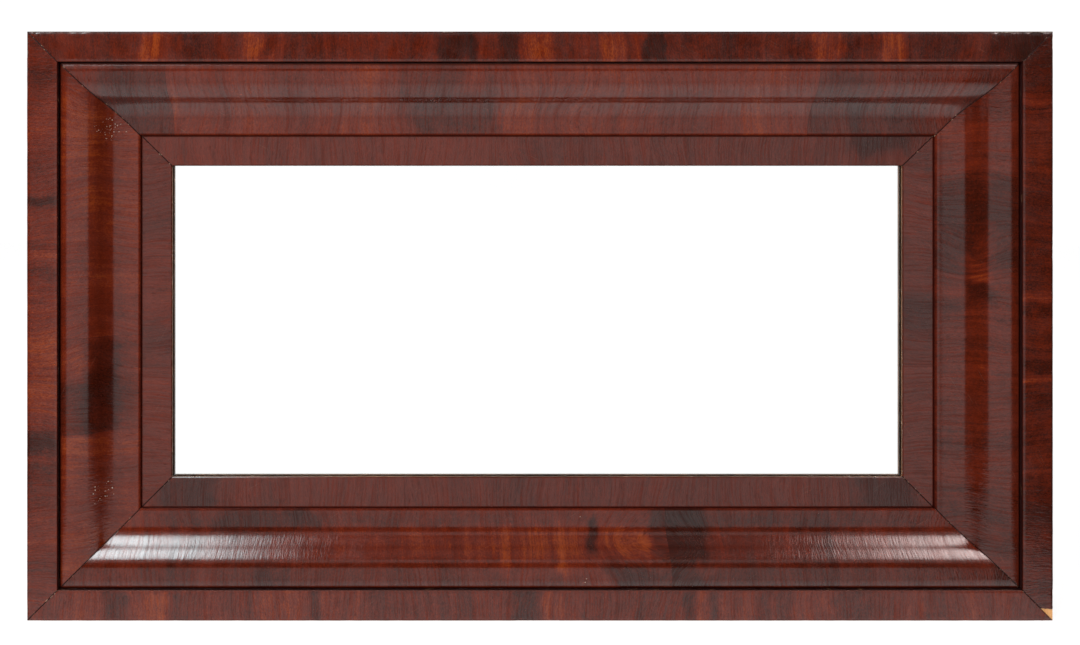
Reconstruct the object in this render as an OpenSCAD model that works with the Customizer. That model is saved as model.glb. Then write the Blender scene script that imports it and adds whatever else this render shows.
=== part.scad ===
// Wall mirror in a wide ogee moulding: a pine back frame, pine mouldings
// and a skin of cross-grained mahogany veneer.
// X runs across the mirror, Z up, and the front faces -Y.
// The origin is the middle of the back face, which lies against the wall.
// A section is drawn with x inwards from the outer edge and y up from the wall.

/* [Frame] */
// Width over the outer edges
frame_w = 914; // [640:1:1200]
// Height over the outer edges
frame_h = 525; // [440:1:900]
// Thickness of the back frame
back_t = 21.5; // [18:0.5:30]
// Open line at each mitre
mitre_gap = 0.12; // [0.04:0.02:0.4]

/* [Moulding] */
// Width of the flat outer band
band_w = 27; // [20:0.5:40]
// Width of the ogee
ogee_w = 64; // [54:0.5:80]
// Width of the inner slip, out to the sight edge
slip_w = 27; // [22:0.5:40]
// Height of the band's face over the crown of the ogee
band_rise = 3.25; // [1:0.25:6]
// Drop from the crown of the ogee to its trough
ogee_drop = 25; // [15:0.5:30]
// Distance from the band to the crown
crown_in = 7.5; // [6:0.5:12]
// Width of the flat at the foot of the ogee, nose included
trough_in = 7; // [4:0.25:9]
// Round-over of the ogee where it meets the band
quirk_r = 2.5; // [2:0.25:4]
// Round nose at the foot of the ogee
nose_r = 3.25; // [1.75:0.25:3.5]
// Thickness of the slip beside the ogee
slip_t = 5.5; // [4.5:0.25:10]
// Fall of the slip's face towards the glass
slip_fall = 2; // [0.5:0.25:3]
// Eased edge of the band and of the sight
arris_r = 0.7; // [0.3:0.1:0.8]

/* [Veneer] */
// Thickness of the veneer
veneer_t = 1; // [0.8:0.05:1.3]
// Glue line under the veneer
glue_t = 0.05; // [0.02:0.01:0.1]
// Lost corner of veneer, along the bottom edge
chip_w = 10; // [3:0.5:18]
// Lost corner of veneer, up the right edge
chip_h = 7.5; // [3:0.5:18]

/* [Glass] */
// Thickness of the glass
glass_t = 3; // [2:0.25:5]
// Thickness of the silvering and its backing paint
silver_t = 0.4; // [0.3:0.05:0.8]
// How far the slip reaches over the opening in the back frame
lip_w = 6; // [5:0.5:9]
// Play of the glass in that opening, each side
glass_play = 2; // [1:0.25:3]
// Plain border outside the silvering
silver_edge = 1; // [0.5:0.25:2]
// Room between the glue blocks and the backboards
block_room = 1.1; // [0.5:0.1:3]
// Blunted edge of a glue block
block_edge = 1.5; // [0.5:0.25:2]
// Length of a glue block
block_l = 42; // [20:1:60]

/* [Backboards] */
// Width of the rebate for the backboards
rebate_w = 12; // [10:0.5:16]
// Depth of the rebate
rebate_d = 8; // [7:0.25:9]
// Thickness of the backboards
board_t = 6.5; // [4:0.25:7]
// Play of the backboards at each edge of the rebate
board_play = 1; // [0.5:0.25:2]
// Shrinkage gap between the two boards
board_gap = 2; // [1:0.5:5]
// Side of a square cut nail
nail_w = 1.8; // [1.4:0.1:2.4]
// Length of a nail
nail_l = 14; // [12:0.5:17]
// Side of a nail's head
nail_head = 4; // [3:0.25:5]
// Thickness of a nail's head
nail_head_t = 0.7; // [0.5:0.1:1]

/* [Corner joints] */
// Diameter of the wooden pegs
peg_d = 8; // [6:0.5:12]
// Distance of the near peg from the two outer edges of a corner
peg_near = 38; // [25:1:50]
// Distance of the far peg from the same edges
peg_far = 84; // [60:1:86]
// How far the pegs' ends lie below the wood
peg_sink = 0.3; // [0.1:0.1:1]

/* [Hangers] */
// Distance of the hangers below the shoulders of the top laps
hanger_down = 38.5; // [20:0.5:70]
// Distance of the rings' pins from the outer edges
hanger_in = 70; // [60:1:76]
// Width of a strap
strap_w = 12; // [10:0.5:16]
// Length of a strap from the pin
strap_l = 44; // [40:1:55]
// Thickness of one layer of the folded strap
strap_t = 0.8; // [0.6:0.05:1.1]
// Diameter of the ring's wire
wire_d = 2.4; // [2:0.1:3]
// Bend of the ring's corners, on the wire's axis
ring_bend = 3.2; // [2.5:0.1:4]
// Straight side of the ring
ring_side = 4.4; // [3:0.2:8]
// Distance of the first screw from the pin
screw_near = 9.5; // [9:0.25:11]
// Distance between the screws of a strap
screw_pitch = 21.5; // [18:0.5:24]
// Diameter of a screw's shank
screw_d = 3.5; // [3:0.1:4]
// Length of a screw under its head
screw_l = 16; // [12:0.5:18]
// Diameter of a screw's round head
screw_head_d = 6.8; // [6:0.1:7.5]
// Height of a screw's round head
screw_head_h = 2.2; // [1.8:0.1:2.6]
// Width of the slot in a screw's head
slot_w = 1; // [0.8:0.1:1.2]
// Depth of the slot
slot_d = 0.9; // [0.6:0.1:1.1]

/* [Hidden] */
// Running and sliding fits
ring_play = 0.08;
fit_play = 0.05;
ring_side_play = 0.4;
hole_play = 0.25;
// Hair's breadth between the glass and its silvering
silver_gap = 0.03;
// Margin by which a cutting solid runs past what it cuts
over = 1;
$fn = 72;

// Distances in from the outer edge
ogee_end = band_w + ogee_w;
sight_in = ogee_end + slip_w;
back_w = sight_in - lip_w;
crown_s = band_w + crown_in;
trough_s = ogee_end - trough_in;
quirk_s = band_w + quirk_r;
nose_s = ogee_end - nose_r;

// Heights above the wall
slip_top = back_t + slip_t;
nose_h = slip_top;
trough_h = nose_h + nose_r;
crown_h = trough_h + ogee_drop;
band_top = crown_h + band_rise;
skin_t = veneer_t + glue_t;

// The ogee is two equal arcs that meet half-way between crown and trough
ogee_run = trough_s - crown_s;
ogee_r = (ogee_run * ogee_run + ogee_drop * ogee_drop) / (4 * ogee_drop);
crown_axis = [crown_s, crown_h - ogee_r];
cove_axis = [trough_s, trough_h + ogee_r];
ogee_turn = 2 * atan(ogee_drop / ogee_run);

// The round-over touches the crown's arc from inside
quirk_reach = ogee_r - quirk_r;
quirk_back = crown_s - quirk_s;
quirk_turn = asin(quirk_back / quirk_reach);
quirk_axis = [quirk_s, crown_axis[1] + quirk_reach * cos(quirk_turn)];

// Opening of the back frame, glass and backboards
open_w = frame_w - 2 * back_w;
open_h = frame_h - 2 * back_w;
glass_w = open_w - 2 * glass_play;
glass_h = open_h - 2 * glass_play;
glass_back = back_t - glass_t;
silver_front = glass_back - silver_gap;
silver_back = silver_front - silver_t;
block_leg = silver_back - rebate_d - block_room;
rebate_long = open_w + 2 * rebate_w;
rebate_high = open_h + 2 * rebate_w;
board_back = rebate_d - board_t;
board_long = rebate_long - 2 * board_play;
board_high = (rebate_high - 2 * board_play - board_gap) / 2;
nail_in_x = rebate_long / 2 - rebate_w / 2;
nail_in_z = rebate_high / 2 - rebate_w / 2;
nails_along = 6;
nails_up = 4;

// Middles of the glue blocks, as shares of the opening's sides
blocks_along = [-0.36, -0.12, 0.12, 0.36];
blocks_up = [-0.25, 0.25];

// Hangers: the pin's height over the back leaves the folded strap flat on the wood
pin_r = wire_d / 2;
barrel_in = pin_r + ring_play;
barrel_out = barrel_in + strap_t;
pin_y = barrel_out;
pin_x = frame_w / 2 - hanger_in;
pin_z = open_h / 2 - hanger_down;
pin_half = strap_w / 2 + ring_side_play;
ring_half = pin_half + ring_bend;
ring_bow_x = ring_bend + ring_side;
screw_x = [screw_near, screw_near + screw_pitch];

pine = "#b98a58";
old_pine = "#8a6238";
veneer = "#6a2f1e";

// Sides of the frame, counted clockwise as seen from the front
bottom = 0;
left = 1;
top = 2;
right = 3;

function side_long(side) = side % 2 == 0 ? frame_w : frame_h;
function side_off(side) = side % 2 == 0 ? frame_h / 2 : frame_w / 2;

// Puts what is drawn for the bottom side on any side
module on_side(side) {
    rotate([0, 90 * side, 0])
        translate([0, 0, -side_off(side)])
            children();
}

// A length of moulding of the section given as child, mitred at both ends
module mitred_bar(side) {
    long = side_long(side);
    inset = mitre_gap / 2 * sqrt(2);
    half = long / 2 - inset;
    on_side(side)
        intersection() {
            translate([-long / 2, 0, 0])
                rotate([180, -90, 0])
                    linear_extrude(long)
                        children();
            rotate([90, 0, 0])
                linear_extrude(band_top + over)
                    polygon([
                        [-half, 0], [half, 0],
                        [half - sight_in, sight_in], [sight_in - half, sight_in]
                    ]);
        }
}

// A rectangle from its lower left corner to its upper right one
module box2(from, to) {
    polygon([from, [to[0], from[1]], to, [from[0], to[1]]]);
}

// What its children keep of a disc, or of a ring between two radii
module ring_part(axis, r_in, r_out) {
    intersection() {
        translate(axis)
            difference() {
                circle(r_out);
                if (r_in > 0)
                    circle(r_in);
            }
        children();
    }
}

module band_core_section() {
    box2([0, back_t], [band_w, band_top - skin_t]);
}

module band_veneer_section() {
    low = band_top - veneer_t;
    arris_low = band_top - arris_r;
    arris_in = band_w - arris_r;
    box2([0, low], [band_w, arris_low]);
    box2([arris_r, arris_low], [arris_in, band_top]);
    ring_part([arris_r, arris_low], 0, arris_r)
        box2([0, arris_low], [arris_r, band_top]);
    ring_part([arris_in, arris_low], 0, arris_r)
        box2([arris_in, arris_low], [band_w, band_top]);
}

// Pine under the ogee: the face lies one skin deep, with a shoulder at each edge of the veneer
module ogee_core_section() {
    crown_r = ogee_r - skin_t;
    join_s = crown_s - crown_r * sin(quirk_turn);
    turn_s = crown_s + crown_r * sin(ogee_turn);
    turn_h = crown_axis[1] + crown_r * cos(ogee_turn);
    box2([band_w, back_t], [join_s, quirk_axis[1]]);
    ring_part(quirk_axis, 0, quirk_r - skin_t)
        box2([band_w, quirk_axis[1]], [join_s, crown_h]);
    ring_part(crown_axis, 0, crown_r)
        box2([join_s, back_t], [turn_s, crown_h]);
    difference() {
        polygon([
            [turn_s, back_t], [trough_s, back_t],
            [trough_s, trough_h - skin_t], [turn_s, turn_h]
        ]);
        translate(cove_axis)
            circle(ogee_r + skin_t);
    }
    box2([trough_s, back_t], [nose_s, trough_h - skin_t]);
    box2([nose_s, back_t], [ogee_end, nose_h]);
    ring_part([nose_s, nose_h], 0, nose_r - skin_t)
        box2([nose_s, nose_h], [ogee_end, trough_h]);
}

// Veneer bent over the ogee, of one thickness from the band to the slip.
// Its arcs part on the lines that join their axes.
module ogee_veneer_section() {
    quirk_far = 2 * quirk_axis - crown_axis;
    ring_part(quirk_axis, quirk_r - veneer_t, quirk_r)
        intersection() {
            box2([band_w, quirk_axis[1]], [crown_s, crown_h]);
            polygon([
                crown_axis, quirk_far,
                [band_w - quirk_reach, quirk_far[1]], [band_w - quirk_reach, crown_axis[1]]
            ]);
        }
    ring_part(crown_axis, ogee_r - veneer_t, ogee_r)
        polygon([crown_axis, cove_axis, quirk_far]);
    ring_part(cove_axis, ogee_r, ogee_r + veneer_t)
        polygon([cove_axis, crown_axis, [trough_s, 0]]);
    box2([trough_s, trough_h - veneer_t], [nose_s, trough_h]);
    ring_part([nose_s, nose_h], nose_r - veneer_t, nose_r)
        box2([nose_s, nose_h], [ogee_end, trough_h]);
}

// The slip's face, a straight fall to the sight edge, drop lower
function slip_line(drop) = [
    [ogee_end, slip_top - drop],
    [sight_in, slip_top - slip_fall - drop]
];

module slip_core_section() {
    line = slip_line(skin_t);
    polygon([[ogee_end, back_t], line[0], line[1], [sight_in, back_t]]);
}

module slip_veneer_section() {
    upper = slip_line(0);
    lower = slip_line(veneer_t);
    slope = slip_fall / slip_w;
    polygon([
        lower[0], upper[0],
        upper[1] + arris_r * [-1, slope], upper[1] - [0, arris_r],
        lower[1]
    ]);
}

// Back frame: the rails keep their back half at the corners, the stiles their front half
module rebate_box() {
    translate([-rebate_long / 2, -rebate_d, -rebate_high / 2])
        cube([rebate_long, rebate_d + over, rebate_high]);
}

module pegs(d, sink) {
    for (x = [-1, 1], z = [-1, 1], i = [0, 1]) {
        in_x = i == 0 ? peg_near : peg_far;
        in_z = i == 0 ? peg_far : peg_near;
        translate([x * (frame_w / 2 - in_x), -sink, z * (frame_h / 2 - in_z)])
            rotate([90, 0, 0])
                cylinder(h = back_t - 2 * sink, d = d);
    }
}

function nail_spots() = [
    for (z = [-1, 1], i = [0:nails_along - 1])
        [nail_in_x * (2 * (i + 0.5) / nails_along - 1), z * nail_in_z],
    for (x = [-1, 1], i = [0:nails_up - 1])
        [x * nail_in_x, nail_in_z * (2 * (i + 0.5) / nails_up - 1)]
];

module nail_shanks(w, length) {
    for (p = nail_spots())
        translate([p[0] - w / 2, -board_back - length, p[1] - w / 2])
            cube([w, length, w]);
}

module base_rail(side) {
    color(old_pine)
        difference() {
            on_side(side)
                union() {
                    translate([-frame_w / 2, -back_t / 2, 0])
                        cube([frame_w, back_t / 2, back_w]);
                    translate([back_w - frame_w / 2, -back_t, 0])
                        cube([open_w, back_t, back_w]);
                }
            rebate_box();
            pegs(peg_d + 2 * fit_play, -over);
            nail_shanks(nail_w + 2 * fit_play, nail_l + fit_play);
        }
}

module base_stile(side) {
    color(old_pine)
        difference() {
            on_side(side)
                union() {
                    translate([-frame_h / 2, -back_t, 0])
                        cube([frame_h, back_t / 2, back_w]);
                    translate([back_w - frame_h / 2, -back_t, 0])
                        cube([open_h, back_t, back_w]);
                }
            rebate_box();
            pegs(peg_d + 2 * fit_play, -over);
            nail_shanks(nail_w + 2 * fit_play, nail_l + fit_play);
            for (s = [-1, 1])
                at_hanger(s)
                    screw_shanks(screw_d + 2 * fit_play, screw_l + fit_play);
        }
}

module base_rail_top() { base_rail(top); }
module base_rail_bottom() { base_rail(bottom); }
module base_stile_left() { base_stile(left); }
module base_stile_right() { base_stile(right); }

module corner_pegs() {
    color(pine)
        pegs(peg_d, peg_sink);
}

module band_core(side) {
    color(old_pine)
        mitred_bar(side)
            band_core_section();
}

// The corner of veneer that is lost at the bottom right
module chip() {
    translate([frame_w / 2, 0, -frame_h / 2])
        rotate([90, 0, 0])
            linear_extrude(band_top + over)
                polygon([[over, -over], [-chip_w, -over], [-chip_w, 0], [0, chip_h], [over, chip_h]]);
}

module band_veneer(side) {
    color(veneer)
        difference() {
            mitred_bar(side)
                band_veneer_section();
            chip();
        }
}

module ogee_core(side) {
    color(pine)
        mitred_bar(side)
            ogee_core_section();
}

module ogee_veneer(side) {
    color(veneer)
        mitred_bar(side)
            ogee_veneer_section();
}

module slip_core(side) {
    color(pine)
        mitred_bar(side)
            slip_core_section();
}

module slip_veneer(side) {
    color(veneer)
        mitred_bar(side)
            slip_veneer_section();
}

module mirror_glass() {
    color("#d8e6e4", 0.6)
        translate([-glass_w / 2, -back_t, -glass_h / 2])
            cube([glass_w, glass_t, glass_h]);
}

module mirror_silvering() {
    color("silver")
        translate([silver_edge - glass_w / 2, -silver_front, silver_edge - glass_h / 2])
            cube([glass_w - 2 * silver_edge, silver_t, glass_h - 2 * silver_edge]);
}

// Three-cornered blocks glued to the back frame, their other leg on the back of the glass
module glue_block(side, at) {
    on_side(side)
        translate([at - block_l / 2, 0, back_w])
            rotate([180, -90, 0])
                linear_extrude(block_l)
                    polygon([
                        [0, silver_back], [0, silver_back - block_leg],
                        [block_edge, silver_back - block_leg],
                        [block_leg, silver_back - block_edge], [block_leg, silver_back]
                    ]);
}

module glass_blocks() {
    color(pine) {
        for (side = [bottom, top], f = blocks_along)
            glue_block(side, f * open_w);
        for (side = [left, right], f = blocks_up)
            glue_block(side, f * open_h);
    }
}

module backboard(z) {
    color(old_pine)
        difference() {
            translate([-board_long / 2, -rebate_d, z])
                cube([board_long, board_t, board_high]);
            nail_shanks(nail_w + 2 * fit_play, nail_l);
        }
}

module backboard_upper() { backboard(board_gap / 2); }
module backboard_lower() { backboard(-board_gap / 2 - board_high); }

module backboard_nails() {
    color("#4a4038") {
        nail_shanks(nail_w, nail_l);
        for (p = nail_spots())
            translate([p[0] - nail_head / 2, -board_back, p[1] - nail_head / 2])
                cube([nail_head, nail_head_t, nail_head]);
    }
}

// At a hanger X runs from the pin along the strap, to the outer edge of the frame
module at_hanger(s) {
    translate([s * pin_x, 0, pin_z])
        mirror([s < 0 ? 1 : 0, 0, 0])
            children();
}

module screw_shanks(d, length) {
    for (x = screw_x)
        translate([x, 0, 0])
            rotate([90, 0, 0])
                cylinder(h = length, d = d);
}

module hanger_strap(s) {
    color("#9b7a3c")
        at_hanger(s)
            difference() {
                union() {
                    translate([0, pin_y, -strap_w / 2])
                        cylinder(h = strap_w, r = barrel_out);
                    translate([0, 0, -strap_w / 2])
                        cube([strap_l - strap_w / 2, 2 * strap_t, strap_w]);
                    translate([strap_l - strap_w / 2, 2 * strap_t, 0])
                        rotate([90, 0, 0])
                            cylinder(h = 2 * strap_t, d = strap_w);
                }
                translate([0, pin_y, -strap_w])
                    cylinder(h = 2 * strap_w, r = barrel_in);
                for (x = screw_x)
                    translate([x, 2 * strap_t + over, 0])
                        rotate([90, 0, 0])
                            cylinder(h = 2 * strap_t + 2 * over, d = screw_d + 2 * hole_play);
            }
}

// The ring lies in a plane through its pin, away from the strap
module ring_corner() {
    translate([-ring_bend, 0, pin_half])
        rotate([90, 0, 0])
            rotate_extrude(angle = 90)
                translate([ring_bend, 0])
                    circle(d = wire_d);
}

module hanger_ring(s) {
    color("#b9b4a8")
        at_hanger(s)
            translate([0, pin_y, 0]) {
                translate([0, 0, -pin_half])
                    cylinder(h = 2 * pin_half, d = wire_d);
                for (up = [0, 1])
                    mirror([0, 0, up]) {
                        ring_corner();
                        translate([-ring_bow_x, 0, ring_half])
                            rotate([0, 90, 0])
                                cylinder(h = ring_side, d = wire_d);
                    }
                translate([-ring_bow_x, 0, 0])
                    rotate([90, 0, 0])
                        rotate([0, 0, 90])
                            rotate_extrude(angle = 180)
                                translate([ring_half, 0])
                                    circle(d = wire_d);
            }
}

// Round-head screws: the head is a slice of a ball with a slot across it
module hanger_screws(s) {
    head_r = screw_head_d / 2;
    ball_r = (head_r * head_r + screw_head_h * screw_head_h) / (2 * screw_head_h);
    head_y = 2 * strap_t;
    color("#8d8a80")
        at_hanger(s)
            for (x = screw_x)
                translate([x, head_y, 0])
                    difference() {
                        union() {
                            rotate([90, 0, 0])
                                cylinder(h = screw_l + head_y, d = screw_d);
                            intersection() {
                                translate([0, screw_head_h - ball_r, 0])
                                    sphere(ball_r);
                                translate([-head_r - over, 0, -head_r - over])
                                    cube([2 * (head_r + over), screw_head_h + over, 2 * (head_r + over)]);
                            }
                        }
                        translate([-slot_w / 2, screw_head_h - slot_d, -head_r - over])
                            cube([slot_w, slot_d + over, 2 * (head_r + over)]);
                    }
}

base_rail_top();
base_rail_bottom();
base_stile_left();
base_stile_right();
corner_pegs();
band_core(top);  // band_core_top
band_core(bottom);  // band_core_bottom
band_core(left);  // band_core_left
band_core(right);  // band_core_right
band_veneer(top);  // band_veneer_top
band_veneer(bottom);  // band_veneer_bottom
band_veneer(left);  // band_veneer_left
band_veneer(right);  // band_veneer_right
ogee_core(top);  // ogee_core_top
ogee_core(bottom);  // ogee_core_bottom
ogee_core(left);  // ogee_core_left
ogee_core(right);  // ogee_core_right
ogee_veneer(top);  // ogee_veneer_top
ogee_veneer(bottom);  // ogee_veneer_bottom
ogee_veneer(left);  // ogee_veneer_left
ogee_veneer(right);  // ogee_veneer_right
slip_core(top);  // slip_core_top
slip_core(bottom);  // slip_core_bottom
slip_core(left);  // slip_core_left
slip_core(right);  // slip_core_right
slip_veneer(top);  // slip_veneer_top
slip_veneer(bottom);  // slip_veneer_bottom
slip_veneer(left);  // slip_veneer_left
slip_veneer(right);  // slip_veneer_right
mirror_glass();
mirror_silvering();
glass_blocks();
backboard_upper();
backboard_lower();
backboard_nails();
hanger_strap(-1);  // hanger_strap_left
hanger_ring(-1);  // hanger_ring_left
hanger_screws(-1);  // hanger_screws_left
hanger_strap(1);  // hanger_strap_right
hanger_ring(1);  // hanger_ring_right
hanger_screws(1);  // hanger_screws_right
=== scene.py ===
import bmesh
import bpy
import math
from mathutils import Matrix, Vector, noise


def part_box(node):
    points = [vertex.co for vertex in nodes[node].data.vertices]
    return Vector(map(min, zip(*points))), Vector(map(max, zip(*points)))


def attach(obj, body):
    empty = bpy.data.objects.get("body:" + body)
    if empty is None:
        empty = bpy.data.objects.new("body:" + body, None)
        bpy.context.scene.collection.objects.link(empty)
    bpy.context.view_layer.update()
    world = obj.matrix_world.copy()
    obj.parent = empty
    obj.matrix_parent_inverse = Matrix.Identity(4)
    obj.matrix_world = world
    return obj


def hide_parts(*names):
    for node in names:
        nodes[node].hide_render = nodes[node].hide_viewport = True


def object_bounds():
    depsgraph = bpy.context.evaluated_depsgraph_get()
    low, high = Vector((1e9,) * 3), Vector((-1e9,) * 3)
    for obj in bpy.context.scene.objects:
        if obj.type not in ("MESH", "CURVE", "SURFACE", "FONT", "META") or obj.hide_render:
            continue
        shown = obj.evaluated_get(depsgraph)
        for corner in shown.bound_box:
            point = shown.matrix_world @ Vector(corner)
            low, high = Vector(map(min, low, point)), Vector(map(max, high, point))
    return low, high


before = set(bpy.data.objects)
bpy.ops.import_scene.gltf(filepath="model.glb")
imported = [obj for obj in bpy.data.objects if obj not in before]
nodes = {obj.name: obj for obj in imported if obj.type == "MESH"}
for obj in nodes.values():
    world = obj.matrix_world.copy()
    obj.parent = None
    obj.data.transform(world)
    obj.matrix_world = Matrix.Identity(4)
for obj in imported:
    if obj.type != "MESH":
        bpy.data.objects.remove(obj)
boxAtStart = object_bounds()
mm = 0.001

# Sizes in mm, the same as the CAD's
frameSize = {"width": 914, "height": 525, "mitreGap": 0.12}
meshing = {"weld": 1e-7, "sharpAngle": 38, "farFromSeam": 60}

# Tones: -1 is nearly black, 0 the common red-brown, 1 orange.
# Positions along a rail are from its middle, to the right or upwards as seen from the front.
# A patch is: from and to along the rail, from and to across it, tone, softness, slant.
# The tones of the sheets of veneer start at the right in the top rail and at the top in the left one.
band = {
    "outer": 0, "width": 27, "top": 58.5, "veneer": 1.0, "arris": 0.7,
    "step": 2.4, "slot": "band_mahogany",
    "chip": {"up": 10, "slope": -0.08, "ragged": 0.9},
    "rails": {
        "top": {
            "joints": [(-84, 1), (112, 0)],
            "sheets": [-0.20, -0.09, -0.14], "shade": 0.9,
            "patches": [
                (-457, -372, 0, 27, 0.04, 14, 0), (-356, -337, 0, 27, 0.30, 5, 0),
                (-330, -268, 0, 27, -0.09, 9, 0), (-267, -249, 0, 27, 0.29, 6, 0),
                (-240, -225, 0, 27, 0.16, 5, 0), (-196, -184, 0, 27, 0.14, 5, 0),
                (-92, -58, 3, 26, -0.30, 6, 4), (-62, -56, 8, 27, -0.25, 2, 0),
                (-35, -19, 0, 27, -0.25, 6, 0), (-17, 12, 0, 27, 0.22, 8, 0),
                (18, 50, 0, 27, -0.04, 9, 0), (55, 73, 0, 27, 0.26, 6, 0),
                (78, 90, 0, 27, 0.14, 4, 0), (93, 112, 0, 27, -0.45, 2.5, 0),
                (245, 271, 0, 27, 0.29, 4, 0), (274, 292, 0, 27, -0.06, 5, 0),
                (303, 327, 0, 27, 0.28, 4, 0), (335, 352, 0, 27, -0.13, 6, 0),
                (408, 457, 0, 27, -0.30, 22, 0),
            ],
            "worn": [(-457, -400, 0.9), (402, 457, 1.5), (-88, -40, 0.35)],
        },
        "bottom": {
            "joints": [(90, -1), (-160, 0)],
            "sheets": [-0.02, -0.08, -0.05],
            "patches": [
                (-389, -368, 0, 27, -0.25, 4, 0), (-349, -331, 0, 27, 0.22, 4, 0),
                (-330, -300, 0, 27, -0.11, 8, 0), (-204, -196, 0, 27, -0.25, 3, 0),
                (-258, -240, 0, 27, 0.11, 6, 0), (-22, 0, 0, 27, -0.22, 6, 0),
                (3, 19, 0, 27, 0.22, 4, 0), (87, 106, 0, 27, -0.14, 3, 0),
                (128, 138, 0, 27, -0.32, 3, 0), (150, 158, 0, 27, -0.29, 3, 0),
                (178, 192, 0, 27, 0.16, 6, 0), (224, 240, 0, 27, 0.16, 4, 0),
                (252, 262, 0, 27, 0.13, 4, 0), (262, 330, 0, 27, -0.09, 10, 0),
            ],
            "worn": [(-457, -446, 0.4), (440, 457, 0.3), (-20, 20, 0.25)],
        },
        "left": {
            "joints": [(68, 0), (-94, 0)],
            "sheets": [-0.06, -0.02, -0.10],
            "patches": [
                (-66, -9, 0, 27, 0.12, 8, 3), (-112, -94, 0, 27, -0.23, 5, 0),
                (40, 52, 0, 27, -0.16, 4, 0), (108, 114, 0, 27, -0.29, 2, 0),
                (206, 262, 0, 27, -0.16, 16, 0), (20, 24, 0, 27, -0.18, 2, 0),
            ],
            "worn": [(240, 262, 0.6), (-262, -250, 0.5)],
        },
        "right": {
            "joints": [(120, 0), (-60, 0)],
            "sheets": [-0.24, -0.20, -0.18], "shade": 0.5,
            "patches": [
                (22, 30, 0, 27, 0.24, 3, 0), (12, 20, 0, 27, -0.18, 3, 0),
                (-50, -42, 0, 27, 0.24, 3, 0), (-42, -30, 0, 27, -0.14, 3, 0),
                (196, 206, 0, 27, 0.19, 4, 0), (212, 262, 0, 27, -0.18, 12, 0),
                (100, 130, 0, 27, -0.09, 8, 0), (-140, -90, 0, 27, 0.07, 20, 0),
            ],
            "worn": [(246, 262, 0.7), (-262, -235, 0.5), (60, 80, 0.25)],
        },
    },
}

ogee = {
    "outer": 27, "width": 64, "foot": 27, "drop": 25, "crownIn": 7.5, "troughIn": 7,
    "quirk": 2.5, "nose": 3.25, "veneer": 1.0, "step": 2.4, "slot": "ogee_mahogany",
    "rails": {
        "top": {
            "joints": [(-335, 0), (-118, 1), (-46, 7), (250, -3)],
            "sheets": [-0.10, 0.02, -0.03, 0.04, -0.04],
            "patches": [
                (-400, -335, 8, 73, -0.20, 9, -8), (-300, -200, 0, 73, -0.06, 20, 0),
                (-117, -64, 4, 27, -0.13, 7, 0), (-117, -40, 32, 70, -0.20, 7, 12),
                (60, 160, 30, 73, -0.06, 18, 6), (246, 300, 12, 70, -0.13, 7, -6),
                (286, 345, 40, 72, -0.14, 8, 10), (-40, -20, 40, 70, 0.13, 7, -14),
            ],
            "figures": [(20, 26, 60, 15)],
            "specks": [],
        },
        "bottom": {
            "joints": [(-218, 2), (-6, 0), (118, -2), (268, 0)],
            "sheets": [-0.02, 0.00, 0.03, -0.08, -0.02],
            "patches": [
                (-300, -222, 48, 73, -0.19, 9, 6), (-256, -222, 0, 22, -0.17, 7, 4),
                (-230, -205, 55, 73, -0.20, 5, -10), (-34, -26, 14, 60, 0.28, 5, 0),
                (-12, 36, 14, 62, 0.11, 12, 0), (18, 24, 12, 64, 0.34, 5, 0),
                (44, 56, 34, 62, -0.48, 5, 3), (66, 146, 0, 18, -0.25, 6, -16),
                (104, 152, 26, 74, -0.30, 5, 4), (60, 100, 30, 60, 0.20, 7, -18),
                (128, 158, 8, 22, 0.14, 6, 14), (262, 268, 20, 55, -0.20, 5, 4),
                # The patches from -430 to 440 and -350 to 350 along the valleys and flanks are painted
                # shade; the one from -200 to 40 across the steep middle is a painted sheen
                (405, 425, 4, 24, -0.22, 6, 8), (-430, 440, 0, 25, -0.13, 12, 0),
                (-350, 350, 59, 74, -0.08, 12, 0), (-350, 350, 57, 63, -0.12, 12, 0),
                (-200, 40, 28, 54, 0.05, 30, 0),
            ],
            "figures": [(72, 36, 44, 24), (140, 24, 40, -16)],
            "specks": [(36, 64, 4, 0.5), (84, 74, 3, 0.5), (40, 10, 3, 0.4)],
        },
        "left": {
            "joints": [(-12, 0), (-98, 0)],
            "sheets": [0.04, 0.00, 0.08],
            "patches": [
                (-98, -16, 24, 52, -0.29, 5, 0), (-98, -54, 0, 26, -0.21, 5, 0),
                (-92, -18, 50, 66, -0.15, 12, 0), (-50, -22, 18, 27, 0.18, 5, 0),
                (-140, -100, 4, 24, 0.12, 7, 0), (150, 214, 4, 26, 0.12, 12, 10),
                (100, 196, 26, 34, 0.10, 6, 0),
            ],
            "figures": [(196, 18, 34, 14), (-40, 56, 30, -10)],
            "specks": [(178, 46, 16, 1.0), (-152, 40, 13, 0.9)],
        },
        "right": {
            "joints": [(90, 0), (-20, 0)],
            "sheets": [-0.12, -0.15, -0.10],
            "patches": [
                (90, 131, 4, 70, -0.20, 8, 0), (58, 88, 40, 72, -0.14, 9, 0),
                (56, 88, 4, 20, -0.15, 10, 8), (38, 56, 28, 44, 0.25, 5, 8),
                (24, 36, 26, 46, -0.26, 5, 4), (2, 14, 24, 44, 0.10, 4, 0),
                (12, 17, 50, 73, -0.14, 5, 0), (-48, -40, 26, 46, 0.16, 5, 0),
                (-210, -170, 4, 40, -0.12, 12, 14),
            ],
            "figures": [(62, 34, 40, 18), (34, 20, 24, -12)],
            "specks": [(16, 38, 2.5, 0.8)],
        },
    },
}

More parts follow.
